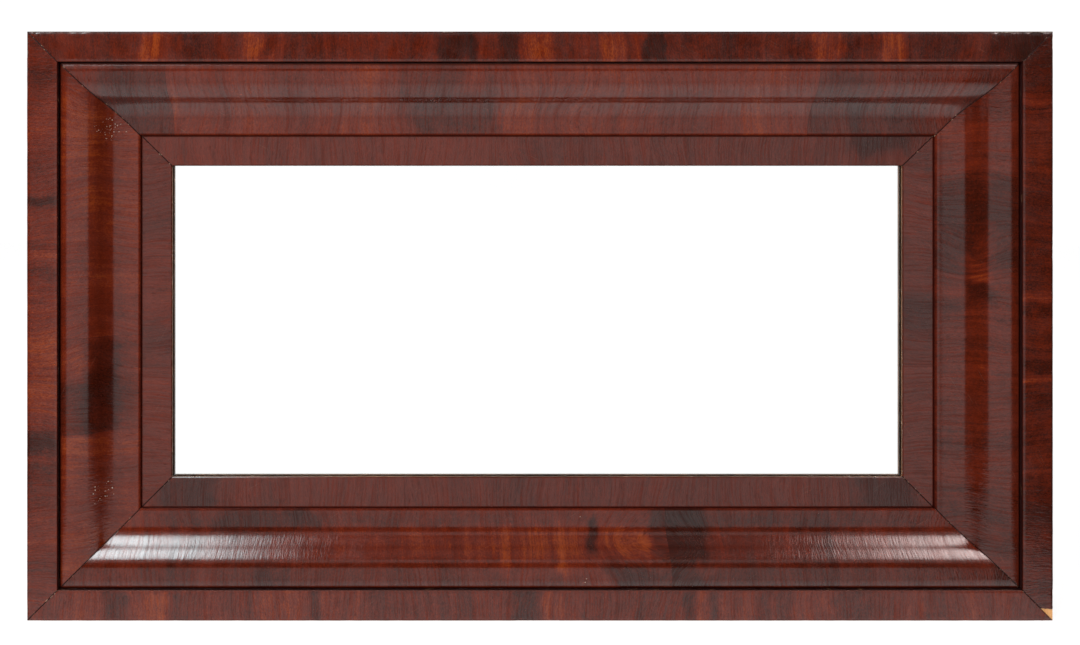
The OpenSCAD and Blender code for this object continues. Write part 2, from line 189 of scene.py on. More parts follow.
slip = {
    "outer": 91, "width": 27, "top": 27, "fall": 2, "veneer": 1.0, "arris": 0.7,
    "step": 2.4, "slot": "slip_mahogany",
    "rails": {
        "top": {
            "joints": [(105, 0)], "sheets": [-0.06, 0.02],
            "patches": [(-20, 60, 0, 27, -0.12, 30, 0), (290, 345, 0, 14, -0.30, 14, 0)],
        },
        "bottom": {
            "joints": [(-123, 0)], "sheets": [-0.02, -0.06],
            "patches": [(-350, -300, 0, 27, -0.28, 10, 0), (300, 352, 0, 27, -0.28, 14, -10)],
        },
        "left": {
            "joints": [(60, 0)], "sheets": [-0.02, 0.0],
            "patches": [(-30, -4, 0, 27, -0.16, 9, 0), (-74, -54, 0, 27, 0.10, 9, 0)],
        },
        "right": {
            "joints": [(-40, 0)], "sheets": [-0.04, -0.08],
            "patches": [(-6, 24, 0, 27, -0.14, 10, 0), (60, 110, 0, 27, 0.08, 16, 0)],
        },
    },
}

# Turn of each side about Y, and the sign that carries its own X to the common direction
sides = {"bottom": (0, 1), "left": (90, -1), "top": (180, -1), "right": (270, 1)}


def smoothStep(x):
    x = min(max(x, 0.0), 1.0)
    return x * x * (3 - 2 * x)


def insideSpan(x, low, high, soft):
    return smoothStep((x - low) / soft + 0.5) * smoothStep((high - x) / soft + 0.5)


def patchTone(rail, along, across, seed):
    # Patches end sharply along the grain, and in long feathers where they cross it
    total = 0.0
    reach = max(p[5] for p in rail["patches"]) + 16
    close = [p for p in rail["patches"] if p[0] - reach < along < p[1] + reach]
    if not close:
        return total
    ragged = 4.5 * noise.noise(Vector((along / 16, across / 12, seed)))
    feather = 6 * noise.noise(Vector((along / 5, across / 40, seed + 5)))
    for low, high, inner, outer, tone, soft, slant in close:
        shift = slant * (across - (inner + outer) / 2) / max(outer - inner, 1)
        ends = insideSpan(along - shift + ragged, low, high, soft * 1.5)
        if ends > 0:
            total += tone * ends * insideSpan(across + feather, inner - 2, outer + 2, 13)
    return total


def bendAlong(rail, along, across):
    # Near a crotch the grain swings sideways, most at the middle of the figure
    shift = 7 * noise.noise(Vector((along / 70, across / 38, 4.5)))
    for at, reach, middle, swing in rail.get("figures", []):
        near = math.exp(-((along - at) / reach) ** 2)
        shift += swing * near * math.exp(-((across - middle) / 26) ** 2)
    return shift


def meshObject(name, bm):
    mesh = bpy.data.meshes.new(name)
    bm.to_mesh(mesh)
    bm.free()
    made = bpy.data.objects.new(name, mesh)
    bpy.context.scene.collection.objects.link(made)
    return made


class Section:
    # Draws a closed section point by point: s inwards from the outer edge, h above the wall
    def __init__(self, bm, off, s, h):
        self.bm = bm
        self.off = off
        self.start = bmesh.ops.create_vert(bm, co=self.place(s, h))["vert"][0]
        self.last = self.start
        self.chain = [self.start]

    def place(self, s, h):
        return Vector((0, -h * mm, (s - self.off) * mm))

    def line(self, s, h, steps=1):
        first = self.last.co.copy()
        target = self.place(s, h)
        for i in range(steps):
            made = bmesh.ops.extrude_vert_indiv(self.bm, verts=[self.last])["verts"][0]
            made.co = first.lerp(target, (i + 1) / steps)
            self.last = made
            self.chain.append(made)

    def arc(self, axis, degrees, steps):
        # A positive turn carries a point above the axis outwards
        for i in range(steps):
            made = bmesh.ops.extrude_vert_indiv(self.bm, verts=[self.last])["verts"][0]
            bmesh.ops.rotate(
                self.bm, verts=[made], cent=self.place(*axis),
                matrix=Matrix.Rotation(math.radians(degrees / steps), 3, "X"),
            )
            self.last = made
            self.chain.append(made)

    def face(self, layer):
        # What is drawn so far is the polished face, and is measured from the outer edge
        length = 0.0
        for a, b in zip([self.chain[0]] + self.chain, self.chain):
            length += (b.co - a.co).length / mm
            b[layer] = length
        self.faceLength = length
        self.faceCount = len(self.chain)

    def close(self, layer):
        self.bm.edges.new((self.last, self.start))
        under = self.chain[self.faceCount:]
        for i, vert in enumerate(under):
            vert[layer] = -1 - self.faceLength * (1 - i / max(len(under) - 1, 1))


def bandSection(bm, off, layer):
    w, top, r = band["width"], band["top"], band["arris"]
    low = top - band["veneer"]
    section = Section(bm, off, 0, low)
    section.line(0, top - r)
    section.arc((r, top - r), -90, 4)
    section.line(w - r, top, 12)
    section.arc((w - r, top - r), -90, 4)
    section.line(w, low)
    section.face(layer)
    section.close(layer)


def ogeeSection(bm, off, layer):
    o = ogee
    end = o["outer"] + o["width"]
    crownS, troughS = o["outer"] + o["crownIn"], end - o["troughIn"]
    noseS, noseH = end - o["nose"], o["foot"]
    troughH = noseH + o["nose"]
    run = troughS - crownS
    r = (run * run + o["drop"] ** 2) / (4 * o["drop"])
    turn = math.degrees(2 * math.atan(o["drop"] / run))
    crownAxis = (crownS, troughH + o["drop"] - r)
    coveAxis = (troughS, troughH + r)
    quirkS = o["outer"] + o["quirk"]
    lean = math.degrees(math.asin((crownS - quirkS) / (r - o["quirk"])))
    quirkAxis = (quirkS, crownAxis[1] + (r - o["quirk"]) * math.cos(math.radians(lean)))
    section = Section(bm, off, o["outer"], quirkAxis[1])
    section.arc(quirkAxis, -(90 - lean), 8)
    section.arc(crownAxis, -(lean + turn), 20)
    section.arc(coveAxis, turn, 18)
    section.line(noseS, troughH, 3)
    section.arc((noseS, noseH), -90, 6)
    section.face(layer)
    section.line(end - o["veneer"], noseH)
    section.arc((noseS, noseH), 90, 4)
    section.line(troughS, troughH - o["veneer"])
    section.arc(coveAxis, -turn, 9)
    section.arc(crownAxis, lean + turn, 10)
    section.arc(quirkAxis, 90 - lean, 4)
    section.close(layer)


def slipSection(bm, off, layer):
    start, w, top = slip["outer"], slip["width"], slip["top"]
    fall, r = slip["fall"], slip["arris"]
    end = start + w
    section = Section(bm, off, start, top - slip["veneer"])
    section.line(start, top)
    section.line(end - r, top - fall + r * fall / w, 12)
    section.line(end, top - fall - r)
    section.line(end, top - fall - slip["veneer"])
    section.face(layer)
    section.close(layer)


def veneerRail(name, moulding, side, drawSection):
    turn, sign = sides[side]
    rail = moulding["rails"][side]
    level = side in ("top", "bottom")
    long = frameSize["width"] if level else frameSize["height"]
    off = (frameSize["height"] if level else frameSize["width"]) / 2
    half = long / 2 - frameSize["mitreGap"] / 2 * math.sqrt(2)
    bm = bmesh.new()
    across = bm.verts.layers.float.new("across")
    drawSection(bm, off, across)
    bmesh.ops.translate(bm, verts=bm.verts, vec=(-long / 2 * mm, 0, 0))
    steps = round(long / moulding["step"])
    bmesh.ops.spin(
        bm, geom=bm.verts[:] + bm.edges[:], cent=(0, 0, 0), axis=(1, 0, 0), angle=0,
        dvec=(long * mm / steps, 0, 0), steps=steps, use_duplicate=False,
    )

    # The sheets of veneer meet in straight joints, some of them cut aslant
    middle = moulding["outer"] + moulding["width"] / 2
    cuts = sorted(rail["joints"])
    planes = []
    for at, slant in cuts:
        point = Vector((sign * at * mm, 0, (middle - off) * mm))
        normal = Vector((moulding["width"], 0, -sign * slant)).normalized() * sign
        planes.append((point, normal))
        bmesh.ops.bisect_plane(
            bm, geom=bm.verts[:] + bm.edges[:] + bm.faces[:], plane_co=point, plane_no=normal,
            dist=meshing["weld"],
        )
    mitres = []
    for end in (-1, 1):
        point = Vector((end * half * mm, 0, -off * mm))
        normal = Vector((end, 0, 1)).normalized()
        mitres.append((point, normal))
        bmesh.ops.bisect_plane(
            bm, geom=bm.verts[:] + bm.edges[:] + bm.faces[:], plane_co=point, plane_no=normal,
            dist=meshing["weld"], clear_outer=True,
        )
    if "chip" in moulding and side == "right":
        cutChip(bm, moulding["chip"], long, off)
    rim = [e for e in bm.edges if e.is_boundary]
    bmesh.ops.holes_fill(bm, edges=rim, sides=0)
    bmesh.ops.recalc_face_normals(bm, faces=bm.faces)

    # What the materials read: tone of the figure, and distances to the mitres and joints in mm
    tone = bm.verts.layers.float.new("tone")
    mitre = bm.verts.layers.float.new("mitre")
    seam = bm.verts.layers.float.new("seam")
    dust = bm.verts.layers.float.new("dust")
    worn = bm.verts.layers.float.new("worn")
    grain = bm.loops.layers.uv.new("grain")
    sheet = bm.loops.layers.uv.new("sheet")
    seed = turn * 0.37 + moulding["outer"]
    for vert in bm.verts:
        along = sign * vert.co.x / mm
        v = abs(vert[across])
        vert[tone] = patchTone(rail, along, v, seed)
        vert[mitre] = min(abs((vert.co - p).dot(n)) / mm for p, n in mitres)
        gaps = [abs((vert.co - p).dot(n)) / mm for p, n in planes]
        vert[seam] = min(gaps + [meshing["farFromSeam"]])
        for at, middleV, reach, amount in rail.get("specks", []):
            gap = math.hypot(along - at, (v - middleV) * 0.8) / reach
            vert[dust] = max(vert[dust], amount * (1 - smoothStep(gap)))
    for face in bm.faces:
        centre = face.calc_center_median()
        index = sum((centre - p).dot(n * sign) > 0 for p, n in planes)
        for loop in face.loops:
            along = sign * loop.vert.co.x / mm
            v = abs(loop.vert[across])
            bent = along + bendAlong(rail, along, v)
            loop[grain].uv = (bent * mm + 1.7 * index + seed * 0.01, v * mm)
            loop[sheet].uv = (rail["sheets"][index], (index * 0.37 + seed * 0.013) % 1)
    wearArris(bm, rail, sign, worn, tone, across, seed)

    spin = Matrix.Rotation(math.radians(turn), 3, "Y")
    bmesh.ops.rotate(bm, verts=bm.verts, cent=(0, 0, 0), matrix=spin)
    piece = meshObject(name, bm)
    for polygon in piece.data.polygons:
        polygon.use_smooth = True
    piece.data.set_sharp_from_angle(angle=math.radians(meshing["sharpAngle"]))
    return piece


def cutChip(bm, chip, long, off):
    # The tip of the stile's veneer has broken off, and the raw core shows as far as the mitre
    point = Vector(((chip["up"] - long / 2) * mm, 0, -off * mm))
    normal = Vector((-1, 0, -chip["slope"])).normalized()
    bmesh.ops.bisect_plane(
        bm, geom=bm.verts[:] + bm.edges[:] + bm.faces[:], plane_co=point, plane_no=normal,
        dist=meshing["weld"], clear_outer=True,
    )
    for vert in bm.verts:
        if abs((vert.co - point).dot(normal)) < 1e-5:
            vert.co -= normal * mm * chip["ragged"] * (0.5 + 0.5 * noise.noise(vert.co * 900))


def wearArris(bm, rail, sign, worn, tone, across, seed):
    # The outer arris is rubbed everywhere and splintered where the rail says so, and darkened as painted
    # shade where the rail gives a shade
    if "worn" not in rail:
        return
    for vert in bm.verts:
        v = vert[across]
        if not 0.2 < v < 2.2:
            continue
        along = sign * vert.co.x / mm
        depth = 0.10 + 0.10 * noise.noise(Vector((along / 11, seed, 0)))
        for low, high, amount in rail["worn"]:
            jag = 0.5 + noise.noise(Vector((along / 4.5, seed, 3)))
            jag += 0.6 * noise.noise(Vector((along / 1.7, seed, 7)))
            depth += amount * insideSpan(along, low, high, 10) * max(jag, 0)
        share = 1 - smoothStep((v - 0.3) / 1.9)
        vert[worn] = min(depth * 1.6, 1) * share
        # Painted shade: a darker line along the outer arris
        vert[tone] -= rail.get("shade", 0) * share
        vert.co.z += min(depth, 1.4) * share * mm
        vert.co.y += min(depth * 0.35, 0.28) * share * mm


makers = {"band": (band, bandSection), "ogee": (ogee, ogeeSection), "slip": (slip, slipSection)}
pieces = {}
for kind, (moulding, drawSection) in makers.items():
    for side in sides:
        name = kind + "_skin_" + side
        piece = veneerRail(name, moulding, side, drawSection)
        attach(piece, "frame")
        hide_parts(kind + "_veneer_" + side)
        pieces[kind, side] = piece
    print("veneer", kind, sum(len(pieces[kind, side].data.polygons) for side in sides), "faces")


# What the finishes are made of. Grain sizes in mm; colours as seen in daylight.
mahogany = {
    "dark": "#150703", "brown": "#350f06", "red": "#5a1b0a", "orange": "#8c3c12",
    "broad": (26, 260), "streak": (5.5, 120), "fine": (1.3, 40),
    "pore": (0.45, 5), "mottle": (14, 9), "fleck": (1.0, 1.8),
    "ripple": (1.3, 7), "rippleHeight": 0.085, "wave": (38, 30), "sheen": (17, 23),
    "ior": 1.45, "specular": 0.545, "dullSpecular": 0.04, "sunkShare": 0.50,
    "poreFill": "#200c07", "wax": "#a07a68", "jointDirt": "#120504", "hollowDirtAndShade": "#220705",
    "lint": "#6a4a44", "bruise": "#a98a74", "whitewash": "#c8b4a2",
    "ground": [(0.35, "#2a1710"), (0.52, "#8d7a68"), (0.66, "#c9c1b6")],
    # How far each noise swings the tone
    "swing": {"broad": 0.62, "streak": 0.62, "fine": 0.34, "mottle": 0.26, "fleck": 0.60},
}
pine = {"ring": 7, "stretch": 320, "endStretch": 12, "ior": 1.45}
plate = {"clear": "#feffff", "silver": "#fcfdfd", "backSilver": "#f8f9f9", "ior": 1.5, "skin": 0.2}


def linear(hexColour):
    channels = [int(hexColour[i:i + 2], 16) / 255 for i in (1, 3, 5)]
    return [c / 12.92 if c <= 0.04045 else ((c + 0.055) / 1.055) ** 2.4 for c in channels] + [1.0]


class Graph:
    # A material under construction; add() makes a node, sets it and wires it in
    def __init__(self, name):
        self.material = bpy.data.materials.new(name)
        self.material.use_nodes = True
        self.tree = self.material.node_tree
        self.tree.nodes.clear()
        self.output = self.tree.nodes.new("ShaderNodeOutputMaterial")

    def add(self, kind, inputs=None, **settings):
        made = self.tree.nodes.new("ShaderNode" + kind)
        for key, value in settings.items():
            setattr(made, key, value)
        for key, value in (inputs or {}).items():
            socket = made.inputs[key]
            if isinstance(value, bpy.types.NodeSocket):
                self.tree.links.new(value, socket)
            else:
                socket.default_value = value
        return made.outputs[0]

    def math(self, operation, a, b=0.0, clamp=False):
        return self.add("Math", {0: a, 1: b}, operation=operation, use_clamp=clamp)

    def mix(self, factor, a, b):
        made = self.tree.nodes.new("ShaderNodeMix")
        made.data_type = "RGBA"
        for socket, value in ((made.inputs[0], factor), (made.inputs[6], a), (made.inputs[7], b)):
            if isinstance(value, bpy.types.NodeSocket):
                self.tree.links.new(value, socket)
            else:
                socket.default_value = value
        return made.outputs[2]

    def ramp(self, factor, stops):
        made = self.tree.nodes.new("ShaderNodeValToRGB")
        elements = made.color_ramp.elements
        while len(elements) < len(stops):
            elements.new(0.5)
        for element, (at, colour) in zip(elements, stops):
            element.position = at
            element.color = linear(colour)
        self.tree.links.new(factor, made.inputs[0])
        return made.outputs[0]

    def attribute(self, name):
        made = self.tree.nodes.new("ShaderNodeAttribute")
        made.attribute_name = name
        return made.outputs["Fac"]

    def range(self, value, low, high, outLow=0.0, outHigh=1.0, smooth=False):
        ends = {"From Min": low, "From Max": high, "To Min": outLow, "To Max": outHigh}
        kind = "SMOOTHSTEP" if smooth else "LINEAR"
        return self.add("MapRange", {"Value": value, **ends}, interpolation_type=kind)

    def noise(self, coords, size, seed, detail=2.0, rough=0.5):
        # size: how long the noise's features are along each axis, in mm
        scale = [1 / (max(s, 1e-4) * mm) for s in size]
        scaled = self.add("VectorMath", {0: coords, 1: (scale + [0, 0])[:3]}, operation="MULTIPLY")
        moved = self.add("VectorMath", {0: scaled, 1: (seed, seed * 1.7, seed * 0.6)}, operation="ADD")
        return self.add("TexNoise", {"Vector": moved, "Scale": 1.0, "Detail": detail, "Roughness": rough})

    def finish(self, shader):
        self.tree.links.new(shader, self.output.inputs["Surface"])
        return self.material


def mahoganyMaterial(name, hollows, roughness, tint=0.0, contrast=1.0):
    # French-polished mahogany: near-black to orange streaks under a polish that mirrors softly.
    # In the hollows, each a shiny, a clean and a darkest place across the face, the polish goes dull from
    # the first to the second, and from the second to the third the colour darkens: dirt, and painted
    # shade.
    look = mahogany
    g = Graph(name)
    grainNode = g.tree.nodes.new("ShaderNodeUVMap")
    grainNode.uv_map = "grain"
    grain = grainNode.outputs[0]
    sheetNode = g.tree.nodes.new("ShaderNodeUVMap")
    sheetNode.uv_map = "sheet"
    sheetXyz = g.tree.nodes.new("ShaderNodeSeparateXYZ")
    g.tree.links.new(sheetNode.outputs[0], sheetXyz.inputs[0])
    sheetTone = sheetXyz.outputs[0]

    broad = g.noise(grain, look["broad"], 3.1, 2.0)
    streak = g.noise(grain, look["streak"], 11.7, 3.0, 0.6)
    fine = g.noise(grain, look["fine"], 23.9, 3.0, 0.65)
    mottle = g.noise(grain, look["mottle"], 31.3, 2.0)
    fleck = g.noise(grain, look["fleck"], 37.7, 1.0)
    figure = g.math("MULTIPLY", g.attribute("tone"), g.range(streak, 0.32, 0.68, 0.55, 1.35))
    tone = g.math("ADD", figure, sheetTone)
    fields = {"broad": broad, "streak": streak, "fine": fine, "mottle": mottle, "fleck": fleck}
    for kind, field in fields.items():
        swing = g.math("MULTIPLY", g.math("SUBTRACT", field, 0.5), look["swing"][kind] * contrast)
        tone = g.math("ADD", tone, swing)
    tone = g.range(g.math("ADD", tone, tint), -1.0, 1.0)
    colour = g.ramp(tone, [
        (0.10, look["dark"]), (0.34, look["brown"]), (0.54, look["red"]), (0.84, look["orange"]),
    ])

    # Open pores filled with dark polish, as short dashes along the grain
    pore = g.range(g.noise(grain, look["pore"], 47.2, 1.0), 0.60, 0.72, smooth=True)
    colour = g.mix(g.math("MULTIPLY", pore, 0.45), colour, linear(look["poreFill"]))

    # Fine scratches across the grain, pale with old wax
    turned = g.add("VectorRotate", {"Vector": grain, "Angle": 1.05}, rotation_type="Z_AXIS")
    scratch = g.range(g.noise(turned, (0.7, 26), 91.0, 1.0), 0.74, 0.80, 0.0, 0.10)
    colour = g.mix(scratch, colour, linear(look["wax"]))

    # Dirt in the joints between the sheets and along the mitres
    seam = g.range(g.attribute("seam"), 0.10, 0.40, 0.34, 0.0)
    mitre = g.range(g.attribute("mitre"), 0.15, 0.75, 0.9, 0.0)
    joint = g.math("MAXIMUM", seam, mitre)
    colour = g.mix(joint, colour, linear(look["jointDirt"]))

    xyz = g.tree.nodes.new("ShaderNodeSeparateXYZ")
    g.tree.links.new(grain, xyz.inputs[0])
    dull = joint
    for shiny, clean, shadedDirty in hollows:
        depth = g.range(xyz.outputs[1], clean * mm, shadedDirty * mm, smooth=True)
        around = g.range(xyz.outputs[1], shiny * mm, clean * mm, smooth=True)
        # Painted shade and dirt: the colour darkens towards the hollow's darkest place
        colour = g.mix(g.math("MULTIPLY", depth, 0.93), colour, linear(look["hollowDirtAndShade"]))
        dull = g.math("MAXIMUM", dull, around)

    # Where a dull place faces up, lint lies in it, but not on the nose, which is wiped
    facing = g.tree.nodes.new("ShaderNodeSeparateXYZ")
    g.tree.links.new(g.tree.nodes.new("ShaderNodeNewGeometry").outputs["Normal"], facing.inputs[0])
    unjoined = g.math("SUBTRACT", dull, joint, clamp=True)
    lint = g.math("MULTIPLY", g.range(facing.outputs[2], 0.15, 0.6), unjoined)
    lint = g.math("MULTIPLY", lint, g.range(xyz.outputs[1], 40 * mm, 50 * mm, 0.45, 0.0))
    colour = g.mix(lint, colour, linear(look["lint"]))

    # Rubbed edges show the bare ground under the polish, broken ones the grey glue size
    bare = g.attribute("worn")
    rough = g.noise(grain, (3, 3), 5.5, 4.0, 0.7)
    uneven = g.math("MULTIPLY", g.math("SUBTRACT", rough, 0.5), 0.8)
    wear = g.range(g.math("ADD", bare, uneven), 0.42, 0.75)
    colour = g.mix(wear, colour, g.ramp(rough, look["ground"]))

    # The mitre's edges are bruised here and there
    bruise = g.math("MULTIPLY", g.range(g.attribute("mitre"), 1.0, 0.4), g.range(rough, 0.60, 0.66))
    colour = g.mix(g.math("MULTIPLY", bruise, 0.6), colour, linear(look["bruise"]))

    # Specks of whitewash
    scaled = g.add("VectorMath", {0: grain, 1: (640, 640, 1)}, operation="MULTIPLY")
    voronoi = g.tree.nodes.new("ShaderNodeTexVoronoi")
    voronoi.inputs["Scale"].default_value = 1.0
    g.tree.links.new(scaled, voronoi.inputs["Vector"])
    chosen = g.tree.nodes.new("ShaderNodeSeparateColor")
    g.tree.links.new(voronoi.outputs["Color"], chosen.inputs[0])
    close = g.math("LESS_THAN", voronoi.outputs["Distance"], g.math("MULTIPLY", chosen.outputs[1], 0.36))
    picked = g.math("LESS_THAN", chosen.outputs[0], g.math("MULTIPLY", g.attribute("dust"), 0.75))
    speck = g.math("MULTIPLY", close, picked)
    colour = g.mix(g.math("MULTIPLY", speck, 0.8), colour, linear(look["whitewash"]))

    # The veneer telegraphs its grain through the polish, so highlights break into fine upright ripples
    ripple = g.noise(grain, look["ripple"], 61.0, 1.0, 0.5)
    wave = g.noise(grain, look["wave"], 71.0, 1.0)
    height = g.math("ADD", ripple, g.math("MULTIPLY", wave, 1.3))
    height = g.math("SUBTRACT", height, g.math("MULTIPLY", pore, 0.05))
    height = g.math("SUBTRACT", height, g.math("MULTIPLY", joint, 0.3))
    bump = g.add("Bump", {"Strength": 1.0, "Distance": look["rippleHeight"] * mm, "Height": height})
    cloudy = g.noise(grain, look["sheen"], 83.0, 4.0, 0.6)
    sheen = g.range(cloudy, 0.3, 0.7, roughness - 0.04, roughness + 0.06)
    sheen = g.math("ADD", sheen, g.math("MULTIPLY", g.math("MAXIMUM", wear, dull), 0.3), clamp=True)
    # Sunken grain breaks the mirror of the polish up into fine upright lines
    sunk = g.math("MULTIPLY", g.math("MAXIMUM", pore, g.range(fine, 0.46, 0.64)), look["sunkShare"])
    mirroring = g.range(g.math("MAXIMUM", dull, sunk), 0.0, 1.0, look["specular"], look["dullSpecular"])
    shader = g.add("BsdfPrincipled", {
        "Base Color": colour, "Roughness": sheen, "IOR": look["ior"], "Normal": bump,
        "Specular IOR Level": mirroring,
    })
    return g.finish(shader)


def pineMaterial(name, axis, early, late, dirt, grime=0.5, roughness=0.62, endGrain=False):
    # Bare softwood: soft pale early wood, hard dark late wood, grime in the hollows
    look = pine
    g = Graph(name)
    coords = g.tree.nodes.new("ShaderNodeTexCoord").outputs["Object"]
    size = [look["ring"]] * 3
    size["XYZ".index(axis)] = look["endStretch"] if endGrain else look["stretch"]
    warp = g.noise(coords, [s * 4 for s in size], 2.2, 2.0)
    xyz = g.tree.nodes.new("ShaderNodeSeparateXYZ")
    g.tree.links.new(coords, xyz.inputs[0])
    others = [i for i in range(3) if "XYZ"[i] != axis]
    lane = g.math("ADD", xyz.outputs[others[0]], g.math("MULTIPLY", xyz.outputs[others[1]], 1.6))
    spaced = g.math("MULTIPLY", lane, 1 / (look["ring"] * mm))
    rings = g.math("ADD", spaced, g.math("MULTIPLY", warp, 9.0))
    saw = g.math("FRACT", rings)
    lateShare = g.range(g.math("POWER", saw, 3.0), 0.0, 1.0, 0.0, 0.85)
    colour = g.mix(lateShare, linear(early), linear(late))
    fibre = g.noise(coords, [s / 9 if s < 20 else s / 4 for s in size], 9.0, 4.0, 0.7)
    colour = g.mix(g.range(fibre, 0.3, 0.8, 0.0, 0.55), colour, linear(late))
    stains = g.noise(coords, (70, 50, 60), 17.0, 5.0, 0.62)
    colour = g.mix(g.range(stains, 0.42, 0.78, 0.0, grime), colour, linear(dirt))
    height = g.math("ADD", g.math("MULTIPLY", lateShare, 0.5), fibre)
    bump = g.add("Bump", {"Strength": 0.6, "Distance": 0.25 * mm, "Height": height})
    rough = g.range(fibre, 0.2, 0.8, roughness - 0.08, roughness + 0.12)
    shader = g.add("BsdfPrincipled", {
        "Base Color": colour, "Roughness": rough, "IOR": look["ior"], "Normal": bump,
    })
    return g.finish(shader)


def stainedCore(name, axis):
    # The band's softwood core, stained to match the veneer, and raw where the corner broke off
    g = Graph(name)
    coords = g.tree.nodes.new("ShaderNodeTexCoord").outputs["Object"]
    size = [2.2, 2.2, 2.2]
    size["XYZ".index(axis)] = 90
    fibre = g.noise(coords, size, 4.0, 4.0, 0.65)
    wide = g.noise(coords, [s * 7 for s in size], 8.0, 2.0)
    tone = g.math("ADD", g.math("MULTIPLY", fibre, 0.6), g.math("MULTIPLY", wide, 0.5))
    stained = g.ramp(tone, [(0.30, "#170806"), (0.52, "#35120b"), (0.75, "#5a2414")])
    raw = g.ramp(tone, [(0.30, "#8a4c22"), (0.52, "#c98a4e"), (0.75, "#e2b27a")])
    xyz = g.tree.nodes.new("ShaderNodeSeparateXYZ")
    g.tree.links.new(coords, xyz.inputs[0])
    glueLine = -(band["top"] - band["veneer"] - 0.6) * mm
    face = g.math("LESS_THAN", xyz.outputs[1], glueLine)
    colour = g.mix(face, stained, raw)
    # The inner wall stands in the quirk; it is painted near-black with the hollows' colour, as dirt and
    # painted shade
    inX = g.math("SUBTRACT", frameSize["width"] / 2 * mm, g.math("ABSOLUTE", xyz.outputs[0]))
    inZ = g.math("SUBTRACT", frameSize["height"] / 2 * mm, g.math("ABSOLUTE", xyz.outputs[2]))
    inner = g.math("GREATER_THAN", g.math("MINIMUM", inX, inZ), (band["width"] - 0.2) * mm)
    colour = g.mix(inner, colour, linear(mahogany["hollowDirtAndShade"]))
    scuffs = g.noise(coords, (14, 9, 14), 12.0, 6.0, 0.7)
    colour = g.mix(g.range(scuffs, 0.60, 0.72, 0.0, 0.45), colour, linear("#7c5a40"))
    bump = g.add("Bump", {"Strength": 0.5, "Distance": 0.2 * mm, "Height": fibre})
    shader = g.add("BsdfPrincipled", {
        "Base Color": colour, "Roughness": g.range(fibre, 0.2, 0.8, 0.36, 0.55),
        "IOR": pine["ior"], "Normal": bump,
    })
    return g.finish(shader)


def silveredGlass(name):
    # Old plate glass: clear, barely uneven, and a mirror where it meets the silver
    g = Graph(name)
    coords = g.tree.nodes.new("ShaderNodeTexCoord").outputs["Object"]
    xyz = g.tree.nodes.new("ShaderNodeSeparateXYZ")
    g.tree.links.new(coords, xyz.inputs[0])
    back = g.math("GREATER_THAN", xyz.outputs[1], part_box("mirror_glass")[1].y - plate["skin"] * mm)
    wave = g.noise(coords, (140, 140, 110), 3.0, 1.0)
    bump = g.add("Bump", {"Strength": 0.25, "Distance": 0.02 * mm, "Height": wave})
    clear = g.add("BsdfPrincipled", {
        "Base Color": linear(plate["clear"]), "Roughness": 0.0, "IOR": plate["ior"],
        "Transmission Weight": 1.0, "Normal": bump,
    })
    silver = g.mix(g.range(wave, 0.3, 0.7), linear(plate["silver"]), linear(plate["clear"]))
    mirror = g.add("BsdfPrincipled", {"Base Color": silver, "Metallic": 1.0, "Roughness": 0.0})
    return g.finish(g.add("MixShader", {0: back, 1: clear, 2: mirror}))


def silverBacking(name):
    # Bright in front, and a dull red-grey backing paint behind, flaked in places
    g = Graph(name)
    coords = g.tree.nodes.new("ShaderNodeTexCoord").outputs["Object"]
    xyz = g.tree.nodes.new("ShaderNodeSeparateXYZ")
    g.tree.links.new(coords, xyz.inputs[0])
    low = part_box("mirror_silvering")[0]
    behind = g.math("GREATER_THAN", xyz.outputs[1], low.y + 0.1 * mm)
    flake = g.noise(coords, (9, 9, 9), 6.0, 6.0, 0.7)
    paint = g.ramp(flake, [(0.35, "#5b4038"), (0.55, "#7a5a4e"), (0.70, "#9a9490")])
    silver = g.add("BsdfPrincipled", {
        "Base Color": linear(plate["backSilver"]), "Metallic": 1.0, "Roughness": 0.0,
    })
    bump = g.add("Bump", {"Strength": 0.4, "Distance": 0.05 * mm, "Height": flake})
    dull = g.add("BsdfPrincipled", {"Base Color": paint, "Roughness": 0.7, "Normal": bump})
    return g.finish(g.add("MixShader", {0: behind, 1: silver, 2: dull}))


def metalMaterial(name, bright, dull, rust, rustAmount, roughness, lineSize, metallic):
    # Plated or bare metal: fine draw lines, dull bloom and rust that starts in the hollows
    g = Graph(name)
    coords = g.tree.nodes.new("ShaderNodeTexCoord").outputs["Object"]
    bloom = g.noise(coords, (4, 4, 4), 3.0, 5.0, 0.65)
    lines = g.noise(coords, lineSize, 7.0, 3.0, 0.6)
    spots = g.noise(coords, (1.6, 1.6, 1.6), 13.0, 5.0, 0.7)
    colour = g.mix(g.range(bloom, 0.35, 0.7), linear(bright), linear(dull))
    damp = g.math("ADD", bloom, g.math("MULTIPLY", spots, 0.6))
    rusty = g.range(damp, 0.98 - rustAmount, 1.08 - rustAmount, smooth=True)
    colour = g.mix(rusty, colour, g.mix(spots, linear(rust), linear("#2a1208")))
    height = g.math("ADD", lines, g.math("MULTIPLY", rusty, 1.5))
    bump = g.add("Bump", {"Strength": 0.5, "Distance": 0.03 * mm, "Height": height})
    sheen = g.range(lines, 0.2, 0.8, roughness - 0.06, roughness + 0.08)
    shader = g.add("BsdfPrincipled", {
        "Base Color": colour,
        "Metallic": g.math("MULTIPLY", g.math("SUBTRACT", 1.0, rusty), metallic),
        "Roughness": g.math("ADD", sheen, g.math("MULTIPLY", rusty, 0.4)),
        "Normal": bump,
    })
    return g.finish(shader)


